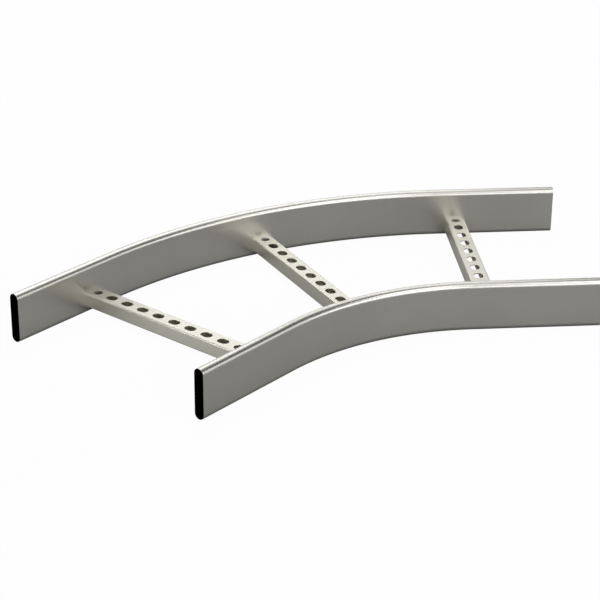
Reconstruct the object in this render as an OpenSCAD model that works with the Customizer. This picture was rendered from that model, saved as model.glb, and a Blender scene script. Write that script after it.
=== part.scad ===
// Cable ladder bend lying flat: two bent flat-oval tubes joined by three perforated channel rungs.
// Millimetres, +Z up. The origin is on the floor, under the middle of the bend's bounding box.
// The bend is symmetric about the plane x = 0, and the outer rail is on the +Y side.

/* [Bend] */
// Angle in degrees that the ladder turns through
bend_angle = 45; // [20:1:90]
// Radius of the inner rail's concave face
inside_radius = 300; // [150:5:600]
// Straight length of each rail beyond the bend
leg_length = 150; // [80:1:400]
// Clear width between the two rails
clear_width = 270; // [100:5:600]

/* [Side rails] */
// Height of the flat-oval tube
rail_height = 60; // [45:1:120]
// Thickness of the flat-oval tube
rail_thickness = 13; // [8:0.5:25]
// Wall of the tube
rail_wall = 1.25; // [0.8:0.05:2.5]

/* [Rungs] */
// Width of the channel over its top web
rung_top_width = 23.5; // [18:0.5:27]
// Width of the channel over its open underside
rung_base_width = 27; // [23.5:0.5:40]
// Depth of the channel
rung_depth = 16; // [12:0.5:25]
// Height of the channel's open underside above the floor
rung_lift = 4; // [0:0.5:15]
// Sheet thickness of the channel
rung_sheet = 1.25; // [0.8:0.05:2]
// Inside radius of the channel's folds
fold_inside_radius = 0.5; // [0.3:0.1:2]
// Width of each lip that turns in along the open underside
lip_width = 6.5; // [5:0.1:8]
// Distance of the end rungs from the ends of the curve, along the legs
end_rung_offset = 25; // [0:1:50]

/* [Rung holes] */
// Length of the slotted holes in the rungs' top web, along the rung
hole_length = 15; // [12.5:0.5:17]
// Width of the slotted holes
hole_width = 11; // [5:0.5:12]
// Distance from hole to hole along the rung
hole_pitch = 25; // [18:0.5:50]

/* [Hidden] */
half_angle = bend_angle / 2;

// Radii of the rails' centre lines and of the middle of the clear width
inner_rail_radius = inside_radius + rail_thickness / 2;
outer_rail_radius = inner_rail_radius + clear_width + rail_thickness;
middle_radius = (inner_rail_radius + outer_rail_radius) / 2;

// The bounding box runs from the tips of the inner rail to the crown of the outer rail
front_y = inside_radius * cos(half_angle) - leg_length * sin(half_angle);
back_y = outer_rail_radius + rail_thickness / 2;
center_y = (front_y + back_y) / 2;

// Each half of the bend is swept this many degrees past the middle, then cut off there
past_middle = 2;
// No point of the bend is farther from the curve's centre than this
bend_reach = back_y + leg_length;

// Channel section
rung_top = rung_lift + rung_depth;
fold_outside_radius = fold_inside_radius + rung_sheet;
slot_width = rung_base_width - 2 * lip_width;

// The channel's sides lean in towards the top web by this angle; the folds turn about these points
side_lean = atan((rung_base_width - rung_top_width) / (2 * rung_depth));
top_fold_x = rung_top_width / 2 - fold_outside_radius * (1 - sin(side_lean)) / cos(side_lean);
top_fold_y = rung_depth - fold_outside_radius;
base_fold_x = rung_base_width / 2 - fold_outside_radius * (1 + sin(side_lean)) / cos(side_lean);
base_fold_y = fold_outside_radius;

// The rungs are cut long, then coped to the rails; the web's holes run on into the coped ends
blank_length = clear_width + rail_thickness;
holes_each_side = floor((clear_width / 2 + hole_length / 2) / hole_pitch + 0.5);

metal_grey = [0.49, 0.49, 0.47];
metal_pale = [0.83, 0.81, 0.76];

$fn = 96;

// Flat-oval outline with half-round ends, standing on the X axis
module flat_oval(height, thickness) {
    radius = thickness / 2;
    translate([-radius, radius])
        square([thickness, height - thickness]);
    for (end_y = [radius, height - radius])
        translate([0, end_y])
            circle(r = radius);
}

// Outline that keeps one distance from the four fold points all round
module fold_outline(distance) {
    side_x = distance * cos(side_lean);
    side_y = distance * sin(side_lean);
    polygon([
        [-base_fold_x, base_fold_y - distance],
        [base_fold_x, base_fold_y - distance],
        [base_fold_x + side_x, base_fold_y + side_y],
        [top_fold_x + side_x, top_fold_y + side_y],
        [top_fold_x, top_fold_y + distance],
        [-top_fold_x, top_fold_y + distance],
        [-top_fold_x - side_x, top_fold_y + side_y],
        [-base_fold_x - side_x, base_fold_y + side_y]
    ]);
    for (side = [-1, 1]) {
        translate([side * base_fold_x, base_fold_y])
            circle(r = distance);
        translate([side * top_fold_x, top_fold_y])
            circle(r = distance);
    }
}

// Slot with half-round ends, centred and along the X axis
module slot_outline(length, width) {
    straight = length - width;
    square([straight, width], center = true);
    for (side = [-1, 1])
        translate([side * straight / 2, 0])
            circle(d = width);
}

// Wall of the rail's tube
module tube_section() {
    difference() {
        flat_oval(rail_height, rail_thickness);
        translate([0, rail_wall])
            flat_oval(rail_height - 2 * rail_wall, rail_thickness - 2 * rail_wall);
    }
}

// Folded channel with its open side down and a lip on both sides of the slot
module channel_section() {
    difference() {
        fold_outline(fold_outside_radius);
        fold_outline(fold_inside_radius);
        translate([-slot_width / 2, -rung_sheet])
            square([slot_width, 3 * rung_sheet]);
    }
}

// Moves the centre of the bend's curve to its place beside the origin
module place_bend() {
    translate([0, -center_y, 0])
        children();
}

// Turns +X to the end of the curve on one side (-1 left, 1 right) and +Y out along that leg
module at_leg(side) {
    mirror([side > 0 ? 1 : 0, 0, 0])
        rotate([0, 0, 90 + half_angle])
            children();
}

// Sweeps a section along the left leg and round the curve, a little past the middle
module sweep_past_middle() {
    at_leg(-1) {
        translate([0, leg_length, 0])
            rotate([90, 0, 0])
                linear_extrude(leg_length)
                    children();
        mirror([0, 1, 0])
            rotate_extrude(angle = half_angle + past_middle)
                children();
    }
}

// Sweeps a section from end to end: the left half cut off at the middle, and its mirror image
module sweep_bend() {
    for (image = [0, 1])
        mirror([image, 0, 0])
            intersection() {
                sweep_past_middle()
                    children();
                translate([-bend_reach, -bend_reach, -rail_height])
                    cube([bend_reach, 2 * bend_reach, 3 * rail_height]);
            }
}

// One side rail: leg, curve, leg
module rail(radius) {
    sweep_bend()
        translate([radius, 0])
            tube_section();
}

// The space between the rails' faces, which the rungs fill from face to face
module clear_space() {
    sweep_bend()
        translate([inner_rail_radius + rail_thickness / 2, 0])
            square([clear_width, rail_height]);
}

// Perforated channel along +X, across the whole clear width and into both rails
module rung_blank() {
    difference() {
        translate([middle_radius - blank_length / 2, 0, rung_lift])
            rotate([90, 0, 90])
                linear_extrude(blank_length)
                    channel_section();
        for (index = [-holes_each_side : holes_each_side - 1])
            translate([middle_radius + (index + 0.5) * hole_pitch, 0, rung_top - 2 * rung_sheet])
                linear_extrude(3 * rung_sheet)
                    slot_outline(hole_length, hole_width);
    }
}

// Trims a rung to the faces of both rails
module coped() {
    place_bend()
        intersection() {
            children();
            clear_space();
        }
}

module outer_rail() {
    color(metal_grey)
        place_bend()
            rail(outer_rail_radius);
}

module inner_rail() {
    color(metal_grey)
        place_bend()
            rail(inner_rail_radius);
}

// Rung on one leg
module end_rung(side) {
    color(metal_pale)
        coped()
            at_leg(side)
                translate([0, end_rung_offset, 0])
                    rung_blank();
}

module left_rung() {
    end_rung(-1);
}

module middle_rung() {
    color(metal_pale)
        coped()
            rotate([0, 0, 90])
                rung_blank();
}

module right_rung() {
    end_rung(1);
}

outer_rail();
inner_rail();
left_rung();
middle_rung();
right_rung();
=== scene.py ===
import math

import bmesh
import bpy
from mathutils import Matrix, Vector


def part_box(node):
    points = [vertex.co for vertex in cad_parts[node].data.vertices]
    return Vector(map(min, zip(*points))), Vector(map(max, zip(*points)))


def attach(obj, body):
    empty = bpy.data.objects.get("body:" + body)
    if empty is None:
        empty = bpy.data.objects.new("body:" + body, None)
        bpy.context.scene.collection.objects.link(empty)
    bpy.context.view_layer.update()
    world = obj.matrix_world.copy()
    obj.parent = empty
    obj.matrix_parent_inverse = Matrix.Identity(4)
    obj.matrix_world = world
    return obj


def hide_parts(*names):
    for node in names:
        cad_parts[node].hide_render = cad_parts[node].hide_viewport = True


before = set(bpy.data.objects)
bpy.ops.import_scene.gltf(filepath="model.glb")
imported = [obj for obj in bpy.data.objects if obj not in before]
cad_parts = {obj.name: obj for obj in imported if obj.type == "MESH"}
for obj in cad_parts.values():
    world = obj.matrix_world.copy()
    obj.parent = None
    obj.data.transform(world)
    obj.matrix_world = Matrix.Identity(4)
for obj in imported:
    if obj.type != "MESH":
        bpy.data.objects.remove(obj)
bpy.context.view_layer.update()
print("frame loaded, nodes:", sorted(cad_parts))

bend = {
    "angle": math.radians(45),
    "insideRadius": 0.300,  # concave face of the inner rail
    "legLength": 0.150,  # straight ends of the rails
    "clearWidth": 0.270,  # between the rails
    "steps": 48,  # facets round the curve
}
rails = {
    "height": 0.060,
    "thickness": 0.013,
    "wall": 0.00125,
    "roundSteps": 14,  # facets in a quarter of the round edge
    "rimRound": 0.0002,  # broken edge at the cut ends
}
edges = {
    "smoothAngle": math.radians(32),  # flatter edges are shaded smooth
    "sharpAngle": math.radians(40),  # sharper edges are broken
    "breakSteps": 2,  # facets of a broken edge
    "flatWeight": 80,  # how much the flat faces count in the shading
}
near = 1e-5  # metres, points this close are one place

halfAngle = bend["angle"] / 2
innerRadius = bend["insideRadius"] + rails["thickness"] / 2
outerRadius = innerRadius + bend["clearWidth"] + rails["thickness"]
middleRadius = (innerRadius + outerRadius) / 2
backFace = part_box("outer_rail")[1].y
curveCentre = Vector((0, backFace - outerRadius - rails["thickness"] / 2, 0))
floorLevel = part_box("outer_rail")[0].z


# angle of the way from the curve's centre to its left end (-1), its middle (0) or its right end (1)
def heading(side):
    return math.pi / 2 - side * halfAngle


def radial(side):  # unit vector that way
    return Vector((math.cos(heading(side)), math.sin(heading(side)), 0))


def outward(side):  # unit vector out along the leg on that side
    ray = radial(side)
    return Vector((side * ray.y, -side * ray.x, 0))


def alone(piece):  # only this piece selected and active
    bpy.ops.object.select_all(action="DESELECT")
    piece.select_set(True)
    bpy.context.view_layer.objects.active = piece


def pick(piece, kind, test):  # in edit mode, select the vertices or edges whose middle passes the test
    work = bmesh.from_edit_mesh(piece.data)
    bpy.ops.mesh.select_all(action="DESELECT")
    for part in {"VERT": work.verts, "EDGE": work.edges}[kind]:
        points = [part.co] if kind == "VERT" else [vert.co for vert in part.verts]
        if test(sum(points, Vector()) / len(points), part):
            part.select_set(True)
    work.select_flush_mode()
    bmesh.update_edit_mesh(piece.data)


def extrude(way):  # draw what is selected out along this vector
    bpy.ops.mesh.extrude_region_move(TRANSFORM_OT_translate={"value": way})


def modifier(piece, name, kind, **settings):  # added and applied
    alone(piece)
    added = piece.modifiers.new(name, kind)
    for key, value in settings.items():
        setattr(added, key, value)
    bpy.ops.object.modifier_apply(modifier=name)


def coat(piece, materials):
    for material in materials:
        piece.data.materials.append(material)


def settle(piece, name):  # smooth shading with flat faces kept flat
    piece.name = name
    piece.data.name = name
    alone(piece)
    bpy.ops.object.shade_smooth_by_angle(angle=edges["smoothAngle"])
    modifier(piece, "evenNormals", "WEIGHTED_NORMAL", keep_sharp=True, weight=edges["flatWeight"])


def sheetOutline(place, turn, width, topWidth, height, corner, steps):  # upright, round corners, no face
    bpy.ops.object.select_all(action="DESELECT")
    bpy.ops.mesh.primitive_plane_add(size=1, location=place, rotation=(math.pi / 2, 0, turn))
    piece = bpy.context.object
    piece.scale = (width, height, 1)
    bpy.ops.object.transform_apply(location=True, rotation=True, scale=True)
    bpy.ops.object.mode_set(mode="EDIT")
    narrow = topWidth / width
    pick(piece, "VERT", lambda spot, vert: spot.z > place.z)
    bpy.ops.transform.resize(value=(narrow, narrow, 1), center_override=place)
    lean = math.atan((width - topWidth) / 2 / height)
    for row in (-1, 1):  # a corner's cut reaches farther where the corner is sharper
        reach = corner * math.tan((math.pi / 2 - row * lean) / 2)
        pick(piece, "VERT", lambda spot, vert: abs(spot.z - place.z - row * height / 2) < near)
        bpy.ops.mesh.bevel(offset=reach, segments=steps, affect="VERTICES", clamp_overlap=True)
    bpy.ops.mesh.select_all(action="SELECT")
    bpy.ops.mesh.delete(type="ONLY_FACE")
    bpy.ops.mesh.select_all(action="SELECT")
    bpy.ops.mesh.remove_doubles(threshold=near)
    return piece


def makeRail(name, radius, *materials):  # flat-oval tube; materials of the outside, then of bore and rim
    start = curveCentre + radial(-1) * radius + outward(-1) * bend["legLength"]
    start.z = floorLevel + rails["height"] / 2
    rail = sheetOutline(start, heading(-1), rails["thickness"], rails["thickness"],
                        rails["height"], rails["thickness"] / 2, rails["roundSteps"])
    bpy.ops.mesh.select_all(action="SELECT")
    extrude(-outward(-1) * bend["legLength"])
    bpy.ops.mesh.spin(steps=bend["steps"], angle=bend["angle"], center=curveCentre, axis=(0, 0, 1))
    extrude(outward(1) * bend["legLength"])
    bpy.ops.mesh.select_all(action="SELECT")
    bpy.ops.mesh.remove_doubles(threshold=near)
    bpy.ops.mesh.normals_make_consistent(inside=False)
    bpy.ops.object.mode_set(mode="OBJECT")
    coat(rail, materials)
    # bore and cut rim take the second material, the tube's painted near-black shade
    modifier(rail, "tubeWall", "SOLIDIFY", thickness=rails["wall"], offset=-1, use_even_offset=True,
             material_offset=1, material_offset_rim=1)

    bpy.ops.object.mode_set(mode="EDIT")
    reach = bend["legLength"] - near

    def onRim(middle, edge):
        atEnd = any((middle - curveCentre).dot(outward(side)) > reach for side in (-1, 1))
        return atEnd and edge.calc_face_angle(0) > edges["sharpAngle"]

    pick(rail, "EDGE", onRim)
    bpy.ops.mesh.bevel(offset=rails["rimRound"], segments=edges["breakSteps"], affect="EDGES",
                       clamp_overlap=True)
    bpy.ops.object.mode_set(mode="OBJECT")
    settle(rail, name)
    return rail


rungs = {
    "topWidth": 0.0235,
    "baseWidth": 0.027,  # over the open underside
    "depth": 0.016,
    "lift": 0.004,  # open underside above the floor
    "sheet": 0.00125,
    "foldRadius": 0.00175,  # outside of the folds
    "foldSteps": 8,  # facets of a fold
    "lip": 0.0065,  # turned in along both edges of the underside
    "holeLength": 0.015,  # slots, along the rung
    "holeWidth": 0.011,
    "holePitch": 0.025,
    "holesEachSide": 6,  # of the rung's middle
    "holeSteps": 48,  # facets of the two round ends
    "punchSheets": 4,  # depth of the punch, in sheet thicknesses
    "endOffset": 0.025,  # end rungs, out along the legs
    "seat": 0.0004,  # how far the ends reach into the rails' walls
    "edgeRound": 0.0002,  # broken edges of the holes and cuts
}


def makePunch():  # the row of slots that is cut out of a rung's top
    bpy.ops.object.select_all(action="DESELECT")
    first = (0.5 - rungs["holesEachSide"]) * rungs["holePitch"]  # the rung's middle is between two slots
    steps = rungs["holeSteps"]
    bpy.ops.mesh.primitive_cylinder_add(
        vertices=steps, radius=rungs["holeWidth"] / 2, depth=rungs["punchSheets"] * rungs["sheet"],
        location=(first, 0, rungs["lift"] + rungs["depth"]), rotation=(0, 0, math.pi / steps))
    punch = bpy.context.object
    bpy.ops.object.transform_apply(location=True, rotation=True, scale=True)
    bpy.ops.object.mode_set(mode="EDIT")
    stretch = (rungs["holeLength"] - rungs["holeWidth"]) / 2
    for side in (-1, 1):  # draw the two half rounds apart
        pick(punch, "VERT", lambda place, vert: side * (place.x - first) > 0)
        bpy.ops.transform.translate(value=(side * stretch, 0, 0))
    bpy.ops.object.mode_set(mode="OBJECT")
    modifier(punch, "row", "ARRAY", count=2 * rungs["holesEachSide"], use_relative_offset=False,
             use_constant_offset=True, constant_offset_displace=(rungs["holePitch"], 0, 0))
    return punch


def makeRung(name, side, *materials):  # slotted channel; materials of the outside, then of the inside
    length = bend["clearWidth"] + 2 * rungs["seat"]
    middle = Vector((-length / 2, 0, rungs["lift"] + rungs["depth"] / 2))
    rung = sheetOutline(middle, math.pi / 2, rungs["baseWidth"], rungs["topWidth"],
                        rungs["depth"], rungs["foldRadius"], rungs["foldSteps"])
    slotHalf = rungs["baseWidth"] / 2 - rungs["lip"]
    for cut in (-slotHalf, slotHalf):  # the lips end here
        bpy.ops.mesh.select_all(action="SELECT")
        bpy.ops.mesh.bisect(plane_co=(0, cut, 0), plane_no=(0, 1, 0))
    pick(rung, "EDGE", lambda place, edge: place.z < rungs["lift"] + near and abs(place.y) < near)
    bpy.ops.mesh.delete(type="EDGE")
    pick(rung, "VERT", lambda place, vert: place.z > middle.z and abs(abs(place.y) - slotHalf) < near)
    bpy.ops.mesh.dissolve_verts()  # the cuts marked the top too
    bpy.ops.mesh.select_all(action="SELECT")
    extrude((length, 0, 0))
    bpy.ops.mesh.select_all(action="SELECT")
    bpy.ops.mesh.normals_make_consistent(inside=False)
    bpy.ops.object.mode_set(mode="OBJECT")
    coat(rung, materials)
    modifier(rung, "sheetThickness", "SOLIDIFY", thickness=rungs["sheet"], offset=-1,
             use_even_offset=True, material_offset=1)

    punch = makePunch()
    modifier(rung, "holes", "BOOLEAN", operation="DIFFERENCE", object=punch, solver="EXACT")
    bpy.data.objects.remove(punch)
    modifier(rung, "brokenEdges", "BEVEL", width=rungs["edgeRound"], segments=edges["breakSteps"],
             limit_method="ANGLE", angle_limit=edges["sharpAngle"])

    rung.rotation_euler.z = heading(side)
    rung.location = curveCentre + radial(side) * middleRadius
    if side:
        rung.location += outward(side) * rungs["endOffset"]
    rung.location.z = floorLevel
    alone(rung)
    bpy.ops.object.transform_apply(location=True, rotation=True, scale=True)
    settle(rung, name)
    return rung


class Wire:  # a socket, or a bare tree to start from
    def __init__(self, tree, socket=None):
        self.tree = tree
        self.socket = socket

    def node(self, kind, settings=None, sockets=None, out=0):
        made = self.tree.nodes.new(kind)
        for key, value in (settings or {}).items():
            setattr(made, key, value)
        for key, value in (sockets or {}).items():
            if isinstance(value, Wire):
                self.tree.links.new(value.socket, made.inputs[key])
            else:
                made.inputs[key].default_value = value
        return Wire(self.tree, made.outputs[out]) if made.outputs else None

    def twin(self, out):  # another output of the same node
        return Wire(self.tree, self.socket.node.outputs[out])

    def noise(self, scale, detail, roughness=0.5):  # at the places that this socket gives
        return self.node("ShaderNodeTexNoise", None, {
            "Vector": self, "Scale": scale, "Detail": detail, "Roughness": roughness}, out="Fac")

    def blend(self, low, high):  # from colour to colour as this goes from 0 to 1
        colours = {6: low, 7: high}  # a Mix node's colour inputs, and 2 is its colour output
        return self.node("ShaderNodeMix", {"data_type": "RGBA"}, {0: self, **colours}, out=2)

    def maths(self, operation, first, second):
        return self.node("ShaderNodeMath", {"operation": operation}, {0: first, 1: second})

    def __add__(self, other):
        return self.maths("ADD", self, other)

    def __radd__(self, other):
        return self.maths("ADD", other, self)

    def __sub__(self, other):
        return self.maths("SUBTRACT", self, other)

    def __rsub__(self, other):
        return self.maths("SUBTRACT", other, self)

    def __mul__(self, other):
        return self.maths("MULTIPLY", self, other)

    def __rmul__(self, other):
        return self.maths("MULTIPLY", other, self)


def bareTree(owner):  # of a material or a world, with no node left
    owner.use_nodes = True
    owner.node_tree.nodes.clear()
    return Wire(owner.node_tree)


railSteel = {
    "darkTone": (0.568, 0.560, 0.518, 1),
    "lightTone": (0.656, 0.645, 0.600, 1),
    "metallic": 1.0,
    "roughness": 0.292,
    "lineStretch": (0.09, 0.09, 0.0006),  # metres, long and level all round the bend
    "lineHeight": 8.0e-5,  # metres
}
rungSteel = {
    "darkTone": (0.713, 0.696, 0.618, 1),
    "lightTone": (0.819, 0.806, 0.717, 1),
    "metallic": 0.8,
    "roughness": 0.36,
    "lineStretch": (0.09, 0.0006, 0.0006),  # metres, along the rung
    "lineHeight": 2e-5,
}
steelWear = {
    "lineDetail": 6.0,  # layers of ever finer lines
    "lineFineness": 0.75,  # strength of each layer beside the last
    "lineTint": 0.25,  # how far the lines sway the tone
    "lineRough": 0.008,  # and the roughness
    "cloudScale": 14.0,  # clouds to a metre
    "cloudDetail": 5.0,
    "cloudFineness": 0.55,
    "cloudTint": 0.9,
    "cloudRough": 0.03,
    "speckScale": 900.0,  # specks to a metre
    "speckDetail": 2.0,
    "speckHeight": 0.3e-6,  # metres
}
halfway = 0.5  # the middle of a noise, and of a blend


def satinSteel(name, look, turn=0):  # drawn metal: fine lines along the piece and soft clouding
    material = bpy.data.materials.new(name)
    bench = bareTree(material)
    place = bench.node("ShaderNodeTexCoord", out="Object")
    along = bench.node("ShaderNodeMapping", {"vector_type": "TEXTURE"}, {
        "Vector": place, "Rotation": (0, 0, turn), "Scale": look["lineStretch"]})
    lines = along.noise(1.0, steelWear["lineDetail"], steelWear["lineFineness"])
    cloud = place.noise(steelWear["cloudScale"], steelWear["cloudDetail"], steelWear["cloudFineness"])
    speck = place.noise(steelWear["speckScale"], steelWear["speckDetail"])
    lineSwing = lines - halfway
    cloudSwing = cloud - halfway
    shade = halfway + cloudSwing * steelWear["cloudTint"] + lineSwing * steelWear["lineTint"]
    tint = shade.blend(look["darkTone"], look["lightTone"])
    rough = look["roughness"] + cloudSwing * steelWear["cloudRough"] + lineSwing * steelWear["lineRough"]
    height = lines * look["lineHeight"] + speck * steelWear["speckHeight"]
    normal = bench.node("ShaderNodeBump", None, {"Strength": 1.0, "Distance": 1.0, "Height": height})
    metal = bench.node("ShaderNodeBsdfPrincipled", None, {
        "Base Color": tint, "Metallic": look["metallic"], "Roughness": rough, "Normal": normal})
    bench.node("ShaderNodeOutputMaterial", None, {"Surface": metal})
    return material


# painted shade: the tube's bore and its cut rim are coloured near black, as if no light reached them
paintedBoreShade = {
    "deepTone": (0.0015, 0.0015, 0.0015, 1),
    "dustAndShadeTone": (0.0050, 0.0048, 0.0044, 1),
    "roughness": 0.95,
}
channelInside = {
    "deepTone": (0.728, 0.693, 0.574, 1),
    "dustAndShadeTone": (0.854, 0.819, 0.686, 1),
    "roughness": 0.8,
}
dustAndShadePatches = {
    "scale": 120.0,  # patches to a metre
    "detail": 4.0,
}


def shadedInside(name, look):  # dull inside of a tube or channel; the tube's near-black tones are painted shade of its unlit bore and cut rim
    material = bpy.data.materials.new(name)
    bench = bareTree(material)
    patches = bench.node("ShaderNodeTexCoord", out="Object").noise(dustAndShadePatches["scale"], dustAndShadePatches["detail"])
    tint = patches.blend(look["deepTone"], look["dustAndShadeTone"])
    matt = bench.node("ShaderNodeBsdfPrincipled", None, {
        "Base Color": tint, "Roughness": look["roughness"], "Specular IOR Level": 0.0})
    bench.node("ShaderNodeOutputMaterial", None, {"Surface": matt})
    return material


def dress(piece, node):
    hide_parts(node)
    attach(piece, "root")


railMetal = satinSteel("railMetal", railSteel)
boreShade = shadedInside("boreShade", paintedBoreShade)
for node, radius in (("outer_rail", outerRadius), ("inner_rail", innerRadius)):
    rail = makeRail(node.replace("_rail", "Rail"), radius, railMetal, boreShade)
    dress(rail, node)
    print(rail.name, "made,", len(rail.data.polygons), "faces")

channelShade = shadedInside("channelShade", channelInside)
for node, side in (("left_rung", -1), ("middle_rung", 0), ("right_rung", 1)):
    name = node.replace("_rung", "Rung")
    rungMetal = satinSteel(name + "Metal", rungSteel, heading(side))
    rung = makeRung(name, side, rungMetal, channelShade)
    dress(rung, node)
    print(rung.name, "made,", len(rung.data.polygons), "faces")

stage = {
    "size": 9.0,
    "paper": (0.95, 0.95, 0.95, 1),  # as the camera sees it
    "shade": (0.275, 0.275, 0.27, 1),  # as it lights the metal
    "footShade": (0.03, 0.03, 0.03, 1),  # and close under the metal, a painted contact shadow
    "footReach": 0.012,  # metres, how far the painted contact shadow reaches
    "footSamples": 8,
    "roughness": 1.0,
    "cameraGlow": 0.96,  # share of plain white in what the camera sees
    "metalGlow": 0.153,  # and in what the metal mirrors
}
plainWhite = (1, 1, 1, 1)


def rayKinds(bench):  # rays straight from the camera, and rays that the metal mirrors
    straight = bench.node("ShaderNodeLightPath", out="Is Camera Ray")
    return straight, straight.twin("Is Glossy Ray") + straight.twin("Is Transmission Ray")


def paleFloor():
    bpy.ops.object.select_all(action="DESELECT")
    bpy.ops.mesh.primitive_plane_add(size=stage["size"], location=(0, 0, floorLevel))
    floor = bpy.context.object
    floor.name = "floor"
    material = bpy.data.materials.new("paleFloor")
    bench = bareTree(material)
    clear = bench.node("ShaderNodeAmbientOcclusion", {"samples": stage["footSamples"]}, {
        "Distance": stage["footReach"]}, out="AO")  # 1 in the open, less close under the metal, where it paints a contact shadow
    straight, mirrored = rayKinds(bench)
    # painted contact shadow: close under the metal the floor's colour and the white that the metal
    # mirrors are darkened
    glow = straight * stage["cameraGlow"] + mirrored * stage["metalGlow"] * clear
    under = clear.blend(stage["footShade"], stage["shade"])
    matt = bench.node("ShaderNodeBsdfPrincipled", None, {
        "Base Color": straight.blend(under, stage["paper"]), "Roughness": stage["roughness"],
        "Specular IOR Level": 0.0})
    white = bench.node("ShaderNodeEmission", None, {"Color": plainWhite, "Strength": 1.0})
    mixed = bench.node("ShaderNodeMixShader", None, {0: glow, 1: matt, 2: white})
    bench.node("ShaderNodeOutputMaterial", None, {"Surface": mixed})
    floor.data.materials.append(material)


paleFloor()
print("floor laid")

softboxes = {  # level is the brightness that the metal sees, white paper being 1
    "front": {"place": (1.2, -2.4, 0.85), "facing": (0, 1, 0), "size": (3.6, 1.5), "level": 2.24},
    "frontLow": {"place": (-2.4, -2.4, 0.45), "facing": (0, 1, 0), "size": (1.2, 0.7), "level": 10.1},
    "frontTop": {"place": (0.6, -1.5, 1.7), "facing": (0, 0, -1), "size": (1.2, 1.0), "level": 3.03},
    "top": {"place": (-0.6, 0.5, 1.7), "facing": (0, 0, -1), "size": (3.6, 1.0), "level": 1.27},
    "backTop": {"place": (0.6, 1.5, 1.7), "facing": (0, 0, -1), "size": (1.2, 1.0), "level": 2.83},
    "overhead": {"place": (-0.05, -0.5, 1.7), "facing": (0, 0, -1), "size": (1.1, 1.0), "level": 0.8},
    "back": {"place": (1.2, 2.4, 0.85), "facing": (0, -1, 0), "size": (2.4, 1.5), "level": 1.16},
    "left": {"place": (-3.0, 1.2, 0.45), "facing": (1, 0, 0), "size": (2.4, 0.7), "level": 4.6},
    "right": {"place": (3.0, -1.2, 0.85), "facing": (-1, 0, 0), "size": (2.4, 1.5), "level": 1.1},
}


def hangSoftbox(name, box):
    lamp = bpy.data.lights.new(name, "AREA")
    lamp.shape = "RECTANGLE"
    lamp.size, lamp.size_y = box["size"]
    lamp.energy = box["level"] * math.pi * lamp.size * lamp.size_y
    holder = bpy.data.objects.new(name, lamp)
    holder.location = box["place"]
    holder.rotation_euler = Vector(box["facing"]).to_track_quat("-Z", "Y").to_euler()
    holder.visible_camera = False
    bpy.context.scene.collection.objects.link(holder)


for name, box in softboxes.items():
    hangSoftbox(name, box)

room = {
    "colour": (0.04, 0.04, 0.04, 1),  # dark between the softboxes
    "cameraGlow": 1.0,  # white backdrop behind the floor
    "metalGlow": 0.02,  # and as the metal mirrors it
}


def darkRoom():
    world = bpy.data.worlds.new("room")
    bench = bareTree(world)
    straight, mirrored = rayKinds(bench)
    glow = straight * room["cameraGlow"] + mirrored * room["metalGlow"]
    dark = bench.node("ShaderNodeBackground", None, {"Color": room["colour"], "Strength": 1.0})
    white = bench.node("ShaderNodeBackground", None, {"Color": plainWhite, "Strength": 1.0})
    mixed = bench.node("ShaderNodeMixShader", None, {0: glow, 1: dark, 2: white})
    bench.node("ShaderNodeOutputWorld", None, {"Surface": mixed})
    bpy.context.scene.world = world


darkRoom()
print("lights hung:", len(softboxes))

view = {
    "place": (-0.98762, -1.80545, 0.96917),
    "down": math.radians(25.015),
    "turn": math.radians(27.645),  # to the right of straight ahead
    "roll": math.radians(0.407),
    "lens": 115.244,
    "sensor": 36.0,
    "reach": 50.0,  # metres that it sees
}


def setCamera():
    lens = bpy.data.cameras.new("camera")
    lens.sensor_width = view["sensor"]
    lens.lens = view["lens"]
    lens.clip_end = view["reach"]
    camera = bpy.data.objects.new("camera", lens)
    aim = (Matrix.Rotation(-view["turn"], 3, "Z") @ Matrix.Rotation(math.pi / 2 - view["down"], 3, "X")
           @ Matrix.Rotation(view["roll"], 3, "Z"))
    camera.rotation_euler = aim.to_euler()
    camera.location = view["place"]
    bpy.context.scene.collection.objects.link(camera)
    bpy.context.scene.camera = camera


setCamera()
bpy.context.scene.view_settings.view_transform = "Standard"
print("camera set")
